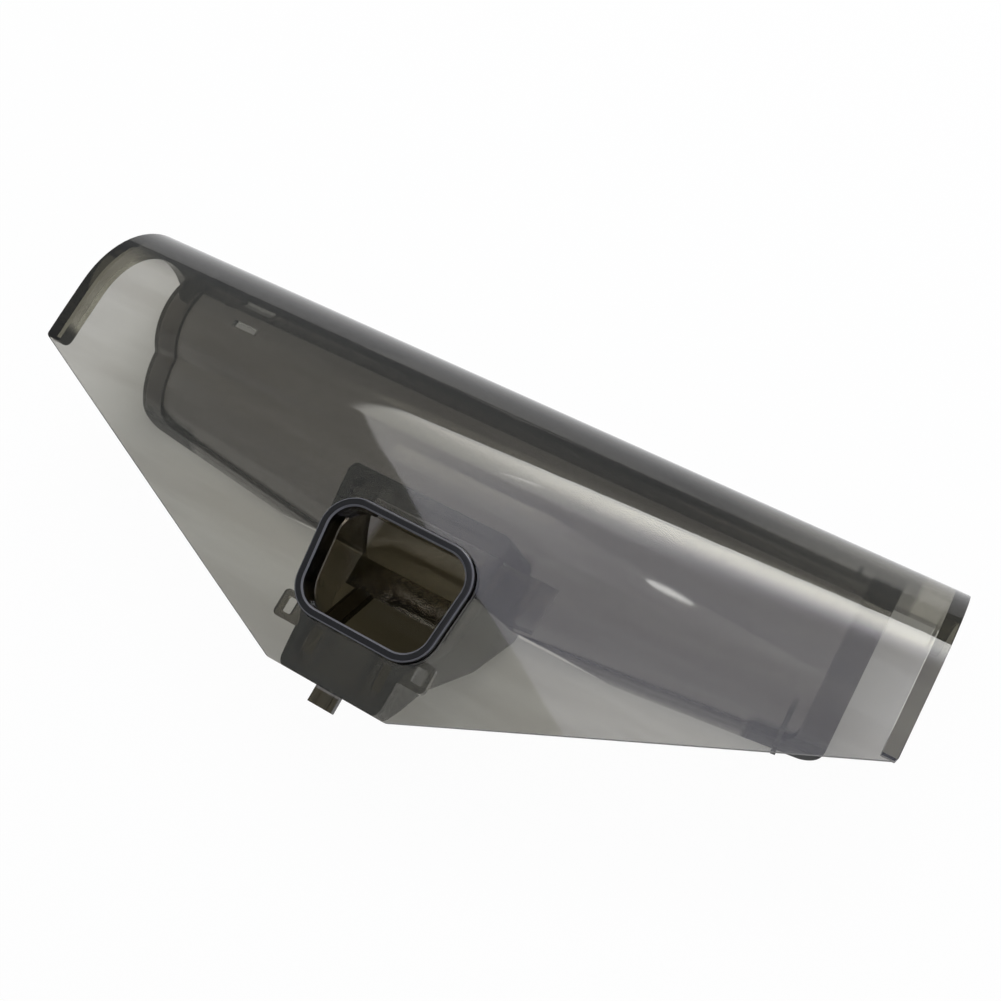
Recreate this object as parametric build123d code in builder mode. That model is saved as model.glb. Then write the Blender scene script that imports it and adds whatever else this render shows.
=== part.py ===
from build123d import *
import os
from math import asin, cos, degrees, radians, sin, sqrt

# A brush cover for a vacuum floor head, in three pieces: a thin see-through shell over a long brush,
# the moulding under it that holds the brush chamber and the suction duct, and the black seal on the port.
# X runs along the brush, +Y points to the front lip, +Z is up, and the cover stands on z = 0.
# The origin is the middle of the front lip's bottom face. Runs are measured along Y from the crest,
# and they are positive towards the front.

# Driving sizes of the outer shell, in millimetres
length = 280.0
shell_wall = 2.5
front_radius = 33.8
arch_axis_height = 15.0
panel_radius = 600.0
foot_run = -21.0
apex_run = -73.6
apex_width = 39.2
apex_corner = 3.0
foot_corner = 1.5
end_flange_thickness = 4.0
end_flange_depth = 8.0
end_flange_corner = 3.0

# Driving sizes of the duct moulding
duct_wall = 2.0
shell_clearance = 0.3
chamber_length = 248.0
chamber_radius = 17.9
brush_setback = 21.8
brush_height = 8.6
end_back_radius = 23.5
end_foot_run = -22.8
neck_back_radius = 32.0
neck_foot_run = -33.3
neck_station = 28.0
back_top_angle = 75.0
back_foot_angle = 165.0
end_corner = 8.0
end_rim_length = 8.5
end_rim_step = 1.5
foot_band_height = 6.0
band_corner = 5.0
wing_rib_setback = 12.0
wing_rib_thickness = 1.4
wing_rib_height = 16.0
wing_rib_step = 3.0
front_edge_height = 2.0
front_edge_slope = 0.12

# Driving sizes of the neck that rises from the chamber to the port
neck_front_run = -13.4
neck_front_height = 18.0
neck_waist_run = -47.0
neck_tail_run = -60.0
neck_rear_run = -73.5
neck_front_width = 54.2
neck_waist_width = 46.4
neck_tail_width = 33.6
neck_rear_width = 32.6
neck_draft = 4.7
neck_corner = 3.0
neck_frame_band = 3.0
tray_depth = 2.6
floor_fold = (-43.3, 9.0)
floor_rear_depth = 14.3
ramp_front_run = -13.0
ramp_front_height = 1.0
ramp_width = 68.0
floor_rail = (-19.5, -14.0)
floor_rail_front = -42.0
floor_rail_length = 14.0
floor_rail_height = 3.6

# Driving sizes of the port and its seal
port_run = -40.4
port_depth = 36.2
port_front_width = 51.8
port_rear_width = 44.0
port_corner = 10.5
seal_width = 2.6
seal_skirt = 1.3
seal_fit = 0.1
seal_top_thickness = 2.0
seal_height = 2.0
seal_edge = 0.7
seal_chamfer = 0.5
port_clearance = 0.3

# Small features of the duct moulding
loop_run = -58.2
loop_length = 8.4
loop_reach = 8.6
loop_depth = 6.8
loop_thickness = 2.0
loop_corner = 1.5
loop_rim = 1.7
loop_window = (3.4, 4.6)
loop_window_corner = 0.6
hook_width = 8.0
hook_reach = 5.0
hook_depth = 9.4
hook_thickness = 2.2
hook_rib = 0.8
tray_rib_spacing = 14.5
tray_rib_thickness = 1.2
tray_rib_length = 12.0
tray_rib_height = 2.0
tray_slot_spacing = 24.0
tray_slot = (4.2, 7.8)
tray_feature_run = -64.0
long_slot = (13.0, 3.0)
short_slot = (9.0, 2.2)
long_slot_place = (-96.5, 22.5)
short_slot_place = (-94.5, 14.0)

# Values that follow from the driving sizes
half_length = length / 2
chamber_half = chamber_length / 2
inner_radius = front_radius - shell_wall
lip_outer = sqrt(front_radius**2 - arch_axis_height**2)
lip_inner = sqrt(inner_radius**2 - arch_axis_height**2)
crest_y = -(lip_outer + lip_inner) / 2
crest_height = arch_axis_height + front_radius
duct_depth = shell_wall + shell_clearance
tray_top_depth = duct_depth + tray_depth
tray_under_depth = tray_top_depth + duct_wall
brush_run = front_radius - brush_setback
rim_start = chamber_half - end_rim_length
wing_rib_end = chamber_half - wing_rib_setback
spigot_top = seal_height - seal_top_thickness
seal_foot = duct_depth - seal_fit
loop_height = crest_height - loop_depth
loop_width = loop_reach + loop_corner
loop_edge = neck_tail_width / 2 + loop_reach
loop_middle = loop_edge - loop_width / 2
loop_window_middle = loop_edge - loop_rim - loop_window[0] / 2
floor_rear_height = crest_height - floor_rear_depth
floor_slope = (floor_rear_height - floor_fold[1]) / (floor_fold[0] - neck_rear_run)
rail_rear = floor_rail_front - floor_rail_length
rail_rise = floor_slope * floor_rail_length
rail_heights = (floor_fold[1] + duct_wall / 2, floor_fold[1] + duct_wall + floor_rail_height)
hook_height = crest_height - hook_depth
hook_length = hook_reach + duct_wall / 2
hook_y = crest_y + neck_rear_run + (duct_wall / 2 - hook_reach) / 2
below = 12.0
beyond = 60.0


def at(run, height):
    """A point of the side view, as the YZ plane counts it."""
    return (crest_y + run, height)


def panel_drop(run):
    """How far the top panel has fallen below the crest at a run behind it."""
    return panel_radius - sqrt(panel_radius**2 - run**2)


def arch_line(depth, rear_run):
    """Front arc and top panel at a depth under the shell's outer face, from the floor to a rear run."""
    radius = front_radius - depth
    low = degrees(asin(arch_axis_height / radius))
    back = degrees(asin(-rear_run / (panel_radius - depth)))
    front = CenterArc(at(0, arch_axis_height), radius, -low, 90 + low)
    panel = CenterArc(at(0, crest_height - panel_radius), panel_radius - depth, 90, back)
    return front @ 0, panel @ 1


def arch_band(station, outer_depth, inner_depth, rear_run, corner=0):
    """The strip between two depths of the arch, as a face across the length."""
    with BuildSketch(Plane.YZ.offset(station)) as band:
        with BuildLine():
            outer_lip, outer_rear = arch_line(outer_depth, rear_run)
            inner_lip, inner_rear = arch_line(inner_depth, rear_run)
            Line(outer_lip, inner_lip)
            Line(outer_rear, inner_rear)
        make_face()
        if corner:
            fillet(band.vertices().group_by(Axis.X)[0].sort_by(Axis.Y)[0], corner)
    return band.sketch


def under_arch(station, depth, bottom):
    """Everything under the arch at a depth, down to a bottom height."""
    rear_run = apex_run - beyond
    with BuildSketch(Plane.YZ.offset(station)) as space:
        with BuildLine():
            lip, rear = arch_line(depth, rear_run)
            Polyline(lip, (lip.X, bottom), (rear.X, bottom), rear)
        make_face()
    return space.sketch


def back_section(station, foot_run, radius, inset):
    """A wing's back across the length: an arc that stands on its foot, inside its outer face by an inset."""
    axis_run = foot_run - radius * cos(radians(back_foot_angle))
    axis_height = -radius * sin(radians(back_foot_angle))
    with BuildSketch(Plane.YZ.offset(station)) as section:
        with BuildLine():
            back = CenterArc(
                at(axis_run, axis_height), radius - inset, back_top_angle, back_foot_angle - back_top_angle)
            heel, top = back @ 1, back @ 0
            Polyline(heel, (heel.X, -below), (top.X, -below), top)
        make_face()
    return section.sketch


def chamber(inset):
    """The brush chamber with its two wings as a full body, inside its outer face by an inset."""
    radius = chamber_radius - inset
    beside_neck = back_section(neck_station, neck_foot_run, neck_back_radius, inset)
    at_end = back_section(chamber_half, end_foot_run, end_back_radius, inset)
    with BuildPart() as body:
        loft([beside_neck, at_end], ruled=True)
        mirror(about=Plane.YZ)
        extrude(beside_neck, amount=-2 * neck_station)
        with BuildSketch(Plane.YZ.offset(-chamber_half)):
            with Locations(at(brush_run, brush_height)):
                Circle(radius)
                Rectangle(2 * radius, brush_height + below, align=(Align.CENTER, Align.MAX))
        extrude(amount=chamber_length)
    return body.part


def neck_plan(inset):
    """The neck's outline from above, on the plane of the crest."""
    with BuildSketch(Plane.XY.offset(crest_height)) as plan:
        with BuildLine() as side:
            Polyline(
                (0, crest_y + neck_front_run), (neck_front_width / 2, crest_y + neck_front_run),
                (neck_waist_width / 2, crest_y + neck_waist_run), (neck_tail_width / 2, crest_y + neck_tail_run),
                (neck_rear_width / 2, crest_y + neck_rear_run), (0, crest_y + neck_rear_run))
            mirror(about=Plane.YZ)
        make_face()
        if inset:
            offset(amount=-inset, kind=Kind.INTERSECTION)
        fillet(plan.vertices().filter_by(lambda corner: abs(corner.X) > neck_corner), neck_corner)
    return plan.sketch


def neck_side(inset):
    """The neck seen from the side, from the chamber over the slanted floor to the rear wall."""
    with BuildSketch(Plane.YZ) as side:
        with BuildLine():
            Polyline(
                at(brush_run, -below), at(brush_run, brush_height),
                at(brush_run, neck_front_height), at(neck_front_run, neck_front_height),
                at(neck_front_run, crest_height), at(neck_rear_run, crest_height),
                at(neck_rear_run, floor_rear_height), at(*floor_fold),
                at(neck_foot_run, 0), at(neck_foot_run, -below), close=True)
        make_face()
        if inset:
            offset(amount=-inset, kind=Kind.INTERSECTION)
    return side.sketch


def panel_plane(run):
    """The plane that touches the shell's outer face at a run behind the crest."""
    slope = run / panel_radius
    return Plane(
        origin=(0, crest_y + run, crest_height - panel_drop(run)),
        x_dir=(1, 0, 0),
        z_dir=(0, slope, sqrt(1 - slope**2)))


def port_outline(inset, height):
    """The port's rounded outline, wider at the front, at a height over the shell's outer face."""
    with BuildSketch(panel_plane(port_run).offset(height)) as outline:
        with BuildLine():
            Polyline(
                (-port_front_width / 2, port_depth / 2), (port_front_width / 2, port_depth / 2),
                (port_rear_width / 2, -port_depth / 2), (-port_rear_width / 2, -port_depth / 2),
                close=True)
        make_face()
        fillet(outline.vertices(), port_corner)
        if inset:
            offset(amount=-inset)
    return outline.sketch


def raised_band(step, outline):
    """The chamber inside an outline seen from the front, thicker on the outside by a step."""
    with BuildPart() as band:
        add(chamber(-step))
        extrude(outline, amount=beyond, both=True, mode=Mode.INTERSECT)
    return band.part


# Outer shell: a thin arch, closed by a flange at each end and trimmed to a blunt wedge at the rear
with BuildSketch(Plane.XY) as shell_plan:
    with BuildLine():
        Polyline(
            (-half_length, crest_y + foot_run), (-apex_width / 2, crest_y + apex_run),
            (apex_width / 2, crest_y + apex_run), (half_length, crest_y + foot_run),
            (half_length, beyond), (-half_length, beyond), close=True)
    make_face()
    rear_corners = shell_plan.vertices().sort_by(Axis.Y)
    fillet(rear_corners[0:2], apex_corner)
    fillet(shell_plan.vertices().sort_by(Axis.Y)[4:6], foot_corner)

end_flange = arch_band(half_length, 0, end_flange_depth, foot_run, end_flange_corner)

with BuildPart() as cover_shell:
    extrude(arch_band(-half_length, 0, shell_wall, apex_run), amount=length)
    extrude(end_flange, amount=-end_flange_thickness)
    mirror(about=Plane.YZ)
    extrude(shell_plan.sketch, amount=crest_height + below, mode=Mode.INTERSECT)
    extrude(port_outline(-port_clearance, below), amount=-2 * below, mode=Mode.SUBTRACT)

cover_shell.part.label = "cover_shell"

# Hollow of the chamber, taken out of the duct moulding below
with BuildPart() as duct_space:
    add(chamber(duct_wall))
    extrude(under_arch(-half_length, duct_depth + duct_wall, -below), amount=length, mode=Mode.INTERSECT)

with BuildPart() as neck_body:
    extrude(neck_plan(0), amount=-crest_height - below, taper=-neck_draft)
    extrude(neck_side(0), amount=half_length, both=True, mode=Mode.INTERSECT)

with BuildPart() as neck_space:
    extrude(neck_plan(duct_wall), amount=-crest_height - below, taper=-neck_draft)
    extrude(neck_side(duct_wall), amount=half_length, both=True, mode=Mode.INTERSECT)
    extrude(under_arch(-half_length, tray_under_depth, -below), amount=length, mode=Mode.INTERSECT)

# Pocket in the neck's top, which leaves a standing frame round the tray
with BuildPart() as tray_pocket:
    extrude(neck_plan(neck_frame_band), amount=-below)
    extrude(under_arch(-half_length, tray_top_depth, 0), amount=length, mode=Mode.SUBTRACT)

# Outlines of the whole chamber, of the raised band round the right wing, and of the rib on its back
with BuildSketch(Plane.XZ) as chamber_outline:
    Rectangle(chamber_length, crest_height, align=(Align.CENTER, Align.MIN))
    fillet(chamber_outline.vertices().group_by(Axis.Y)[0], end_corner)

with BuildSketch(Plane.XZ) as band_outline:
    with Locations((neck_station, 0)):
        Rectangle(chamber_half - neck_station, crest_height, align=(Align.MIN, Align.MIN))
    fillet(band_outline.vertices().group_by(Axis.Y)[0].sort_by(Axis.X)[-1], end_corner)
    with Locations((rim_start, foot_band_height)):
        RectangleRounded(length, 2 * crest_height, band_corner, align=(Align.MAX, Align.MIN), mode=Mode.SUBTRACT)

with BuildSketch(Plane.XZ) as rib_outline:
    with Locations((wing_rib_end, 0)):
        Rectangle(wing_rib_thickness, wing_rib_height, align=(Align.MAX, Align.MIN))

# Duct moulding, first as a full body: two wings, the middle between them, and the neck
with BuildPart() as duct_body:
    add(raised_band(end_rim_step, band_outline.sketch))
    mirror(about=Plane.YZ)
    add([raised_band(0, chamber_outline.sketch), raised_band(wing_rib_step, rib_outline.sketch)])
    add(neck_body.part)
    extrude(under_arch(-half_length, duct_depth, 0), amount=length, mode=Mode.INTERSECT)

# Ramp that leads the dust from the brush to the neck's slanted floor, and the rail on that floor
with BuildPart() as ramp:
    with BuildSketch(Plane.YZ):
        with BuildLine():
            Polyline(
                at(*floor_fold), at(ramp_front_run, ramp_front_height),
                at(ramp_front_run, ramp_front_height + duct_wall), at(floor_fold[0], floor_fold[1] + duct_wall),
                close=True)
        make_face()
    extrude(amount=ramp_width / 2, both=True)
    with BuildSketch(Plane.YZ.offset(floor_rail[0])):
        with BuildLine():
            Polyline(
                at(floor_rail_front, rail_heights[0]), at(floor_rail_front, rail_heights[1]),
                at(rail_rear, rail_heights[1] + rail_rise), at(rail_rear, rail_heights[0] + rail_rise),
                close=True)
        make_face()
    extrude(amount=floor_rail[1] - floor_rail[0])
    add(duct_body.part, mode=Mode.INTERSECT)

# Duct moulding: hollow, with wings that gather the dust to the middle and a neck that lifts it to the port
with BuildPart() as brush_duct:
    add(duct_body.part)
    add([duct_space.part, neck_space.part, tray_pocket.part], mode=Mode.SUBTRACT)
    add(ramp.part)
    # The chamber's front edge rises from its ends to the middle
    with BuildSketch(Plane.XZ.offset(-crest_y - brush_run)):
        with BuildLine():
            edge_middle = front_edge_height + front_edge_slope * chamber_half
            Polyline(
                (-half_length, 0), (half_length, 0), (chamber_half, front_edge_height),
                (0, edge_middle), (-chamber_half, front_edge_height), close=True)
        make_face()
    extrude(amount=-beyond, mode=Mode.SUBTRACT)
    # Spigot that carries the seal, and the bore down through the tray
    extrude(port_outline(seal_skirt + seal_fit, spigot_top), amount=-spigot_top - tray_top_depth - duct_wall / 2)
    extrude(port_outline(seal_width, spigot_top), amount=-spigot_top - tray_under_depth - duct_wall,
            mode=Mode.SUBTRACT)
    # Ribs and slots on the tray behind the port
    with Locations(panel_plane(tray_feature_run).offset(-tray_top_depth)):
        with GridLocations(tray_rib_spacing, 1, 2, 1):
            Box(tray_rib_thickness, tray_rib_length, 2 * tray_rib_height)
        with GridLocations(tray_slot_spacing, 1, 2, 1):
            Box(tray_slot[0], tray_slot[1], 2 * (tray_depth + duct_wall), mode=Mode.SUBTRACT)
    # A loop on each side of the neck, and the hook with its two ribs behind it
    with BuildSketch(Plane.XY.offset(loop_height)):
        with Locations((0, crest_y + loop_run)):
            with GridLocations(2 * loop_middle, 1, 2, 1):
                RectangleRounded(loop_width, loop_length, loop_corner)
            with GridLocations(2 * loop_window_middle, 1, 2, 1):
                RectangleRounded(*loop_window, loop_window_corner, mode=Mode.SUBTRACT)
    extrude(amount=loop_thickness / 2, both=True)
    with Locations((0, hook_y, hook_height)):
        Box(hook_width, hook_length, hook_thickness)
        with GridLocations(hook_width / 2, 1, 2, 1):
            with Locations((0, 0, hook_thickness / 2)):
                Box(hook_rib, hook_length, hook_rib)
    # Two slots in the crown of the left wing
    for place, slot in ((long_slot_place, long_slot), (short_slot_place, short_slot)):
        with Locations((place[0], crest_y + place[1], brush_height + chamber_radius)):
            Box(slot[0], slot[1], chamber_radius, mode=Mode.SUBTRACT)

brush_duct.part.label = "brush_duct"

# Seal: a cap with a skirt that slips over the spigot and stands proud of the shell
with BuildPart() as port_seal:
    extrude(port_outline(0, seal_height), amount=-seal_height - seal_foot)
    fillet(port_seal.faces().filter_by(GeomType.PLANE).sort_by(Axis.Z)[-1].edges(), seal_edge)
    extrude(port_outline(seal_width, seal_height), amount=-seal_height - seal_foot, mode=Mode.SUBTRACT)
    rim_face = port_seal.faces().filter_by(GeomType.PLANE).sort_by(Axis.Z)[-1]
    chamfer(rim_face.inner_wires().edges(), seal_chamfer)
    extrude(port_outline(seal_skirt, spigot_top), amount=-spigot_top - seal_foot, mode=Mode.SUBTRACT)

port_seal.part.label = "port_seal"

os.makedirs("parts", exist_ok=True)
export_step(cover_shell.part, "parts/cover_shell.step")
export_step(brush_duct.part, "parts/brush_duct.step")
export_step(port_seal.part, "parts/port_seal.step")
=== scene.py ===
# %% [markdown]
# A smoked brush cover, dressed for its picture.
#
# The part is a cover for the brush of a vacuum's floor head. It has three pieces: a thin see-through shell,
# a second see-through moulding under it that holds the brush chamber and the suction duct, and a black seal
# round the port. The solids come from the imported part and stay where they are. This file gives them their
# plastics, a floor, lamps and a camera, one cell at a time.

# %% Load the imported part
from math import pi, radians

import bpy
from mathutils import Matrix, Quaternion, Vector

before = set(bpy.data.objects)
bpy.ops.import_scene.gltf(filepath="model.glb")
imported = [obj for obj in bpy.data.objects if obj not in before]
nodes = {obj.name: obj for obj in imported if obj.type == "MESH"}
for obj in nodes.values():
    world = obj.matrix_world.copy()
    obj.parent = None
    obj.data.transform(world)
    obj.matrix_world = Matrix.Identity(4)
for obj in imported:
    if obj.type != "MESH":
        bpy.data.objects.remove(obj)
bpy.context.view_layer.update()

# %% [markdown]
# The camera.
#
# The photograph looks steeply down on the cover from above its right end, with the brush running from upper
# left to lower right. A camera is easiest to place by where it stands and what it looks at. The last number
# turns it about its own line of sight, which is what tilts the cover in the picture. A longer lens would
# flatten the perspective, and the strong taper of the cover asks for this one.

# %% Place the camera
CAMERA_PLACE = Vector((0.12517, -0.10373, 0.35904))
CAMERA_AIM = Vector((0.01578, -0.03267, 0.040))
CAMERA_ROLL = radians(29.137)
CAMERA_LENS = 43.67

camera = bpy.data.objects.new("camera", bpy.data.cameras.new("camera"))
bpy.context.collection.objects.link(camera)
line_of_sight = CAMERA_AIM - CAMERA_PLACE
upright = line_of_sight.to_track_quat("-Z", "Y")
camera.rotation_mode = "QUATERNION"
camera.rotation_quaternion = Quaternion(line_of_sight, CAMERA_ROLL) @ upright
camera.location = CAMERA_PLACE
camera.data.lens = CAMERA_LENS
camera.data.sensor_width = 36
bpy.context.scene.camera = camera
bpy.context.scene.view_settings.view_transform = "Standard"
print("camera stands", round(line_of_sight.length, 3), "m from its aim")

# %% [markdown]
# A small language for finishes.
#
# A material is a graph of nodes, and graphs written link by link are hard to read. Two helpers make them
# read like sums. `Wire` is one value in a material: adding or multiplying wires adds the Math nodes.
# `Finish` is the material itself, and its `node` method adds any other node with its settings and inputs.
# The same class also fills the node graphs of a lamp and of the world, which have other output nodes.

# %% Wires and finishes
class Wire:
    """One value in a node graph. Arithmetic on wires adds Math nodes."""

    def __init__(self, finish, socket):
        self.finish = finish
        self.socket = socket

    def math(self, operation, first, second):
        return self.finish.node("ShaderNodeMath", {"operation": operation}, {0: first, 1: second})

    def __add__(self, other):
        return self.math("ADD", self, other)

    __radd__ = __add__

    def __sub__(self, other):
        return self.math("SUBTRACT", self, other)

    def __rsub__(self, other):
        return self.math("SUBTRACT", other, self)

    def __mul__(self, other):
        return self.math("MULTIPLY", self, other)

    __rmul__ = __mul__


class Finish:
    """The node graph of a material, a lamp or the world."""

    def __init__(self, owner, end):
        self.owner = owner
        owner.use_nodes = True
        self.tree = owner.node_tree
        self.tree.nodes.clear()
        self.end = self.tree.nodes.new(end)

    def node(self, kind, settings=None, inputs=None, output=0):
        made = self.tree.nodes.new(kind)
        for name, value in (settings or {}).items():
            setattr(made, name, value)
        self.fill(made, inputs or {})
        return Wire(self, made.outputs[output])

    def fill(self, made, inputs):
        for name, value in inputs.items():
            if isinstance(value, Wire):
                self.tree.links.new(value.socket, made.inputs[name])
            else:
                made.inputs[name].default_value = value

    def close(self, **ends):
        self.fill(self.end, ends)
        return self.owner


def new_finish(name):
    return Finish(bpy.data.materials.new(name), "ShaderNodeOutputMaterial")


# %% [markdown]
# The smoked plastics.
#
# Both big mouldings are clear plastic with a grey-brown dye all through it. Such a plastic is darker where
# light crosses more of it: pale on one thin wall, deep where two walls lie over each other, nearly black
# along an edge. Colouring the surface alone can't do that, so the surface is clear and glossy, and the dye
# is a Volume Absorption inside the solid. The surface is polished, but not perfect: the mould leaves a very
# long soft ripple, the melt leaves faint flow marks along the brush, and handling wipes the gloss here and
# there. The flow marks are a noise stretched along X that tints the light a little on its way in. A second
# colour is painted on where one mask gives 1: painted shade on the shell, a stain and painted shade on the
# duct. Where another mask gives 1, a dark, dull skin takes the place of the clear surface. That skin is
# painted shade, the dark line that these edges show.

# %% Smoked plastic
FLOW_STRETCH = (4.0, 30.0, 30.0)
CLEAR_PLASTIC_IOR = 1.49
CLEAR = (1.0, 1.0, 1.0, 1.0)
FLOW_MARK = (0.88, 0.87, 0.86, 1.0)
# The dark dull skin is painted shade on edges and band feet.
PAINTED_EDGE_SHADE = (0.012, 0.012, 0.013, 1.0)


def blend(finish, share, first, second):
    """The first colour where the share is 0 and the second where it is 1."""
    return finish.node("ShaderNodeMix", {"data_type": "RGBA"}, {
        "Factor": share, 6: first, 7: second}, output=2)


def ramp(finish, value, start, full):
    """0 up to a start and 1 from a full value on, with a soft step between them."""
    return finish.node("ShaderNodeMapRange", {"interpolation_type": "SMOOTHSTEP"}, {
        "Value": value, "From Min": start, "From Max": full})


def axis_of(finish, vector, axis):
    return finish.node("ShaderNodeSeparateXYZ", inputs={0: vector}, output=axis)


def smoked_plastic(name, dye, density, roughness, ripple_height, stain_and_shade, stain_and_shade_mask, painted_shade_mask):
    """Clear dyed plastic, with a colour for painted shade and stains where the first mask gives 1, and a
    dark dull skin of painted shade where the second mask does.
    """
    finish = new_finish(name)
    place = finish.node("ShaderNodeTexCoord", output="Object")
    ripple = finish.node("ShaderNodeTexNoise", inputs={"Vector": place, "Scale": 22.0, "Detail": 1.0})
    relief = finish.node("ShaderNodeBump", inputs={
        "Strength": 1.0, "Distance": ripple_height, "Height": ripple})
    along = finish.node("ShaderNodeMapping", inputs={"Vector": place, "Scale": FLOW_STRETCH})
    flow = finish.node("ShaderNodeTexNoise", inputs={"Vector": along, "Scale": 3.0, "Detail": 3.0})
    tint = blend(finish, ramp(finish, flow, 0.36, 0.64), CLEAR, FLOW_MARK)
    # The second colour: painted shade on the shell, painted shade and stain on the duct.
    tint = blend(finish, stain_and_shade_mask(finish, place), tint, (*stain_and_shade, 1.0))
    wipe = finish.node("ShaderNodeTexNoise", inputs={"Vector": place, "Scale": 90.0, "Detail": 5.0})
    clear = finish.node("ShaderNodeBsdfPrincipled", inputs={
        "Base Color": tint, "Roughness": wipe * roughness + roughness / 2, "IOR": CLEAR_PLASTIC_IOR,
        "Transmission Weight": 1.0, "Normal": relief})
    edge_shade = finish.node("ShaderNodeBsdfPrincipled", inputs={"Base Color": PAINTED_EDGE_SHADE, "Roughness": 0.5})
    # Painted shade: the dark dull skin replaces the clear surface where its mask gives 1.
    surface = finish.node("ShaderNodeMixShader", inputs={0: painted_shade_mask(finish, place), 1: clear, 2: edge_shade})
    inside = finish.node("ShaderNodeVolumeAbsorption", inputs={"Color": (*dye, 1.0), "Density": density})
    return finish.close(Surface=surface, Volume=inside)


# %% [markdown]
# The shell.
#
# Some places are darker than their wall alone would make them. On the shell it is the upright front wall,
# next to the lip, least at its right end. That darkness is painted shade: a dark colour painted on those
# faces stands in for shade, and soft steps along the axes say where it lies. The upright edge round the
# panel draws a thin dark line. That line is painted shade too: it gets the dark dull skin, and its faces
# are found by their normals, which point sideways and so have hardly any height.

# %% Shell
SHELL_DYE = (0.350, 0.325, 0.200)
# Colour of the painted shade on the shell's front wall.
SHELL_PAINTED_SHADE = (0.10, 0.10, 0.11)
LESS_ON_RIGHT_HALF = 0.45
LESS_AT_RIGHT_END = 0.8
PANEL_EDGE_SHADE_SHARE = 0.8


# Painted shade: darkens the upright front wall next to the lip, least at the right end.
def front_wall_shade(finish, place):
    x = axis_of(finish, place, "X")
    right_half = 1 - ramp(finish, x, 0.05, 0.12) * LESS_ON_RIGHT_HALF
    right_end = 1 - ramp(finish, x, 0.127, 0.129) * LESS_AT_RIGHT_END
    return ramp(finish, axis_of(finish, place, "Y"), -0.016, -0.003) * right_half * right_end


# Painted shade: a dark dull skin on the panel's upright edge, found by the sideways normals.
def panel_edge_shade(finish, place):
    up = axis_of(finish, finish.node("ShaderNodeNewGeometry", output="Normal"), "Z")
    slant = finish.node("ShaderNodeMath", {"operation": "ABSOLUTE"}, {0: up})
    behind_arch = ramp(finish, axis_of(finish, place, "Y"), -0.042, -0.046)
    return ramp(finish, slant, 0.5, 0.2) * behind_arch * PANEL_EDGE_SHADE_SHARE


shell_plastic = smoked_plastic(
    "smoked_shell_plastic", SHELL_DYE, density=300.0, roughness=0.03, ripple_height=0.00002,
    stain_and_shade=SHELL_PAINTED_SHADE, stain_and_shade_mask=front_wall_shade, painted_shade_mask=panel_edge_shade)
print(shell_plastic.name, len(shell_plastic.node_tree.nodes), "nodes")

# %% [markdown]
# The duct.
#
# The duct has a warmer, deeper dye. Its dark places are the floor inside the neck, which shows through the
# port as a deep olive, the hook at the rear, the two loops beside it, and the raised bands at the ends. The
# same olive colour lies on all of them, in different shares. On the neck floor and the loops it is painted
# shade, on the bands it is their own darker colour, and the hook is simply darker. The feet of the bands
# have the dark dull skin, which is painted shade.

# %% Duct
DUCT_DYE = (0.21, 0.17, 0.14)
# The olive colour: painted shade on the neck floor and loops, the bands' own dark colour, a darker hook.
OLIVE_STAIN_AND_SHADE = (0.26, 0.23, 0.14)
LOOP_SHARE = 0.7
BAND_SHARE = 0.3


def beside_middle(finish, place):
    return finish.node("ShaderNodeMath", {"operation": "ABSOLUTE"}, {0: axis_of(finish, place, "X")})


def most(finish, first, second):
    return finish.node("ShaderNodeMath", {"operation": "MAXIMUM"}, {0: first, 1: second})


# Painted shade on the neck floor and the loops, the bands' own dark colour, and a darker hook.
def floor_hook_loops_and_bands(finish, place):
    beside = beside_middle(finish, place)
    y = axis_of(finish, place, "Y")
    z = axis_of(finish, place, "Z")
    in_neck = ramp(finish, beside, 0.030, 0.026) * ramp(finish, y, -0.038, -0.046)
    neck_floor = in_neck * ramp(finish, z, 0.039, 0.035)
    hook = ramp(finish, y, -0.1028, -0.1034)
    beside_neck = ramp(finish, beside, 0.0150, 0.0165) * ramp(finish, y, -0.0825, -0.0835)
    loops = beside_neck * ramp(finish, z, 0.040, 0.0408)
    band = ramp(finish, beside, 0.1150, 0.1165)
    return most(finish, most(finish, neck_floor, hook), most(finish, loops * LOOP_SHARE, band * BAND_SHARE))


# Painted shade: a dark dull skin on the feet of the end bands.
def band_feet_shade(finish, place):
    near_end = ramp(finish, beside_middle(finish, place), 0.100, 0.104)
    at_back = ramp(finish, axis_of(finish, place, "Y"), -0.044, -0.048)
    return near_end * at_back * ramp(finish, axis_of(finish, place, "Z"), 0.008, 0.004)


duct_plastic = smoked_plastic(
    "smoked_duct_plastic", DUCT_DYE, density=570.0, roughness=0.06, ripple_height=0.00003,
    stain_and_shade=OLIVE_STAIN_AND_SHADE, stain_and_shade_mask=floor_hook_loops_and_bands, painted_shade_mask=band_feet_shade)
print(duct_plastic.name, len(duct_plastic.node_tree.nodes), "nodes")

# %% [markdown]
# The seal's black.
#
# The seal is the one piece that light can't enter. It is a black moulding with a soft gloss, and a fine
# grain breaks its highlights, as on any part that comes out of a lightly etched mould. A paler grey painted
# on its rounded edges is a painted highlight, the light line that these edges catch. Those are the faces
# that point half up and half to the side, so the height of the face's normal finds them.

# %% Seal
SEAL_BLACK = (0.008, 0.008, 0.009, 1.0)
# Paler grey painted on the rounded edges: a painted highlight.
PAINTED_EDGE_HIGHLIGHT = (0.14, 0.14, 0.15, 1.0)

seal = new_finish("seal_black")
seal_place = seal.node("ShaderNodeTexCoord", output="Object")
grain = seal.node("ShaderNodeTexNoise", inputs={"Vector": seal_place, "Scale": 900.0, "Detail": 3.0})
seal_relief = seal.node("ShaderNodeBump", inputs={"Strength": 0.3, "Distance": 0.00002, "Height": grain})
seal_up = axis_of(seal, seal.node("ShaderNodeNewGeometry", output="Normal"), "Z")
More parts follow.
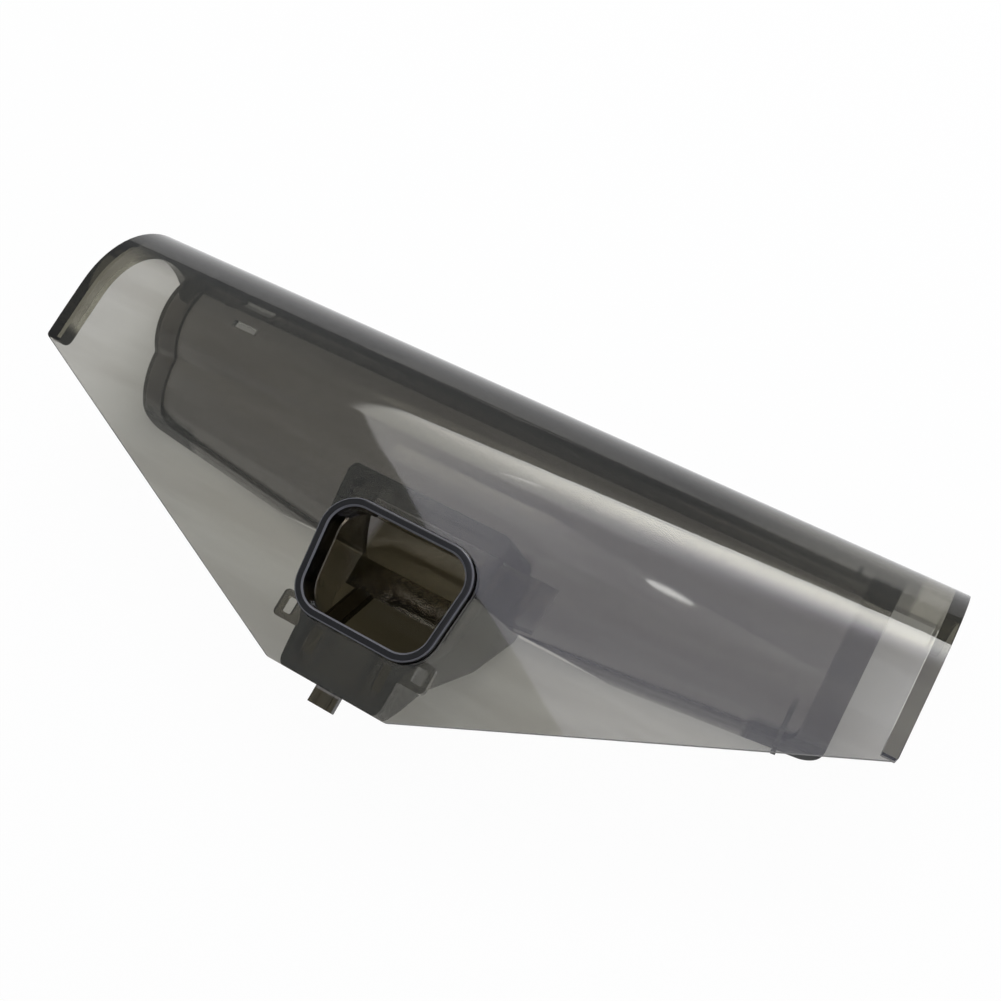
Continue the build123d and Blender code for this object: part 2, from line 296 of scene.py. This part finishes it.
# Mask of the painted highlight: faces that point half up and half to the side.
painted_highlight_mask = ramp(seal, seal_up, 0.25, 0.45) * ramp(seal, seal_up, 0.97, 0.88)
seal_surface = seal.node("ShaderNodeBsdfPrincipled", inputs={
    "Base Color": blend(seal, painted_highlight_mask, SEAL_BLACK, PAINTED_EDGE_HIGHLIGHT), "Roughness": grain * 0.08 + 0.07,
    "IOR": 1.42, "Normal": seal_relief})
seal_black = seal.close(Surface=seal_surface)

# %% [markdown]
# Dressing the pieces.
#
# The solids keep their meshes. Each only loses the plain material that it was packed with and gets its own.

# %% Dress the three pieces
for name, material in (
        ("cover_shell", shell_plastic), ("brush_duct", duct_plastic), ("port_seal", seal_black)):
    piece = nodes[name]
    piece.data.materials.clear()
    piece.data.materials.append(material)
    print(name, len(piece.data.polygons), "faces")

# %% [markdown]
# The paper.
#
# The cover lies on white paper that runs on without an edge. For the camera, for mirrors and for light that
# has come through the plastic, part of the paper's white is a plain glow, so that it stays white up to the
# picture's border. The rest is real matt paper, and that part takes the cover's shadow. Light that has come
# through rough plastic counts as mirrored light too, so the mirror's share is taken off there.

# %% Floor
FLOOR_HALF = 3.0
FLOOR_DROP = 0.0002
PAPER_WHITE = (0.8, 0.8, 0.8, 1.0)
GLOW_BY_EYE = 0.97
GLOW_BY_MIRROR = 0.8
GLOW_THROUGH_PLASTIC = 0.2

floor_mesh = bpy.data.meshes.new("floor")
floor_mesh.from_pydata(
    [(-FLOOR_HALF, -FLOOR_HALF, 0), (FLOOR_HALF, -FLOOR_HALF, 0),
     (FLOOR_HALF, FLOOR_HALF, 0), (-FLOOR_HALF, FLOOR_HALF, 0)],
    [], [(0, 1, 2, 3)])
floor = bpy.data.objects.new("floor", floor_mesh)
bpy.context.collection.objects.link(floor)
floor.location.z = -FLOOR_DROP

paper = new_finish("white_paper")
by_eye = paper.node("ShaderNodeLightPath", output="Is Camera Ray")
by_mirror = paper.node("ShaderNodeLightPath", output="Is Glossy Ray")
through_plastic = paper.node("ShaderNodeLightPath", output="Is Transmission Ray")
matt = paper.node("ShaderNodeBsdfDiffuse", inputs={"Color": PAPER_WHITE})
glow = paper.node("ShaderNodeEmission", inputs={"Color": (1.0, 1.0, 1.0, 1.0), "Strength": 1.0})
glow_in_mirrors = by_mirror * (1 - through_plastic) * GLOW_BY_MIRROR
glow_share = by_eye * GLOW_BY_EYE + glow_in_mirrors + through_plastic * GLOW_THROUGH_PLASTIC
paper_mix = paper.node("ShaderNodeMixShader", inputs={0: glow_share, 1: matt, 2: glow})
floor_mesh.materials.append(paper.close(Surface=paper_mix))

# %% [markdown]
# The room.
#
# Everything that isn't paper or lamp is the room. The camera sees it white, as it sees the paper, also
# through the plastic. In the gloss of the plastic it is a cool half-light, which keeps the darkest places
# grey instead of black. As a source of light it is dim, because the lamps do that work.

# %% World
ROOM_LIGHT = 0.25
WHITE_BY_MIRROR = 0.29
COOL_WHITE = (0.95, 0.97, 1.0, 1.0)
COOL_DIM = (0.90, 0.95, 1.0, 1.0)

studio = bpy.data.worlds.new("studio")
bpy.context.scene.world = studio
room = Finish(studio, "ShaderNodeOutputWorld")
room_by_eye = room.node("ShaderNodeLightPath", output="Is Camera Ray")
room_by_mirror = room.node("ShaderNodeLightPath", output="Is Glossy Ray")
room_through = room.node("ShaderNodeLightPath", output="Is Transmission Ray")
white_share = room_by_eye + room_by_mirror * (1 - room_through) * WHITE_BY_MIRROR + room_through
dim = room.node("ShaderNodeBackground", inputs={"Color": COOL_DIM, "Strength": ROOM_LIGHT})
white = room.node("ShaderNodeBackground", inputs={"Color": COOL_WHITE, "Strength": 1.0})
room.close(Surface=room.node("ShaderNodeMixShader", inputs={0: white_share, 1: dim, 2: white}))

# %% [markdown]
# The lamps.
#
# Glossy see-through plastic shows its lamps more than its own colour. One broad lamp hangs over the right
# half of the cover, turned against it, and its mirror image is the sheen there. Two small lamps give the
# short streaks. All hang under one ceiling and face straight down, and a lamp's power follows from its
# brightness and its area.

# %% Lamps
CEILING = 1.0


def ceiling_lamp(name, middle, size, turn, brightness, shape="RECTANGLE", drop=0.0):
    lamp = bpy.data.lights.new(name, "AREA")
    lamp.shape = shape
    lamp.size, lamp.size_y = size
    lamp.energy = brightness * pi * size[0] * size[1]
    made = bpy.data.objects.new(name, lamp)
    bpy.context.collection.objects.link(made)
    made.location = (*middle, CEILING - drop)
    made.rotation_euler.z = radians(turn)
    print(name, round(lamp.energy, 2), "W")
    return lamp


# %% [markdown]
# The broad lamp.
#
# Its slanted front edge makes the light line that runs along the cover below the crest. The lamp is bright
# and white behind that edge and fades to a dim violet, so its strength and colour follow the place on the
# lamp, which Blender gives from 0 to 1 as the Parametric value. Times the lamp's size, that is the way along
# its front edge and the way behind that edge in metres. The corner where both are small is cut off, because
# the sheen in the picture has a slanted left end.

# %% Broad lamp
BROAD_SIZE = (1.34, 1.10)
VIOLET = (0.80, 0.80, 1.0, 1.0)
WARM_WHITE = (1.0, 1.0, 0.97, 1.0)
DIM_GLOW = 1.4
EDGE_GLOW = 1.5
MORE_GLOW_ALONG = 6.8

broad_lamp = ceiling_lamp("broad_lamp", (0.116, 0.521), BROAD_SIZE, turn=46.6, brightness=1.0)
broad = Finish(broad_lamp, "ShaderNodeOutputLight")
on_lamp = broad.node("ShaderNodeNewGeometry", output="Parametric")
along_lamp = axis_of(broad, on_lamp, "X") * BROAD_SIZE[0]
behind_edge = (1 - axis_of(broad, on_lamp, "Y")) * BROAD_SIZE[1]
cut_corner = ramp(broad, along_lamp + behind_edge, 0.27, 0.31)
fade = ramp(broad, behind_edge, 0.64, 0.22)
bright = fade * (ramp(broad, along_lamp, 0.0, 0.74) * MORE_GLOW_ALONG + EDGE_GLOW)
lamp_colour = blend(broad, fade, VIOLET, WARM_WHITE)
broad.close(Surface=broad.node("ShaderNodeEmission", inputs={
    "Color": lamp_colour, "Strength": (bright + DIM_GLOW) * cut_corner}))
print("broad lamp", len(broad.tree.nodes), "nodes")

# %% [markdown]
# The small lamps.
#
# Each small lamp mirrors in the plastic as one short bright streak. So each is a slim ellipse, turned until
# its streak lies as in the picture. They hang a little lower, because the broad lamp would hide them.

# %% Two small lamps
SMALL_LAMP = {"shape": "ELLIPSE", "drop": 0.004}

ceiling_lamp("spot_lamp", (-0.09, 0.14), (0.058, 0.011), turn=-4, brightness=6.0, **SMALL_LAMP)
ceiling_lamp("streak_lamp", (-0.313, 0.365), (0.08, 0.012), turn=49.5, brightness=4.0, **SMALL_LAMP)
